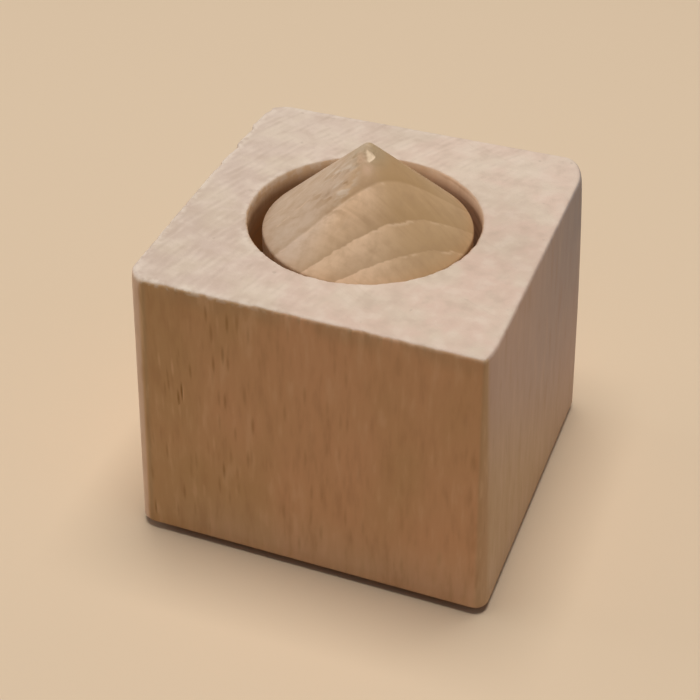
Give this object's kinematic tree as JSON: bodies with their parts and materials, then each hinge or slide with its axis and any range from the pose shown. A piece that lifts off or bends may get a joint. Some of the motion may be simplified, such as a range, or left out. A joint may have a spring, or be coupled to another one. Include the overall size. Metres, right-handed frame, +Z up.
{
  "type": "wooden block with a loose cone",
  "caption": "Square beech block with rounded upright edges and a blind bore in its end-grain top, holding a loose turned cone with a blunt tip.",
  "frame": {"origin": "centre of the block's underside, on the surface that it stands on", "axes": "+Z up along the grain and the bore's axis, front face towards -Y, +X to the right of the front face"},
  "size_m": [0.055, 0.055, 0.0596],
  "materials": {
    "block_beech": "bare sanded beech, sawn end grain on top",
    "cone_beech": "bare turned beech"
  },
  "bodies": {
    "root": {"block": "block_beech", "cone": "cone_beech"}
  },
  "joints": []
}
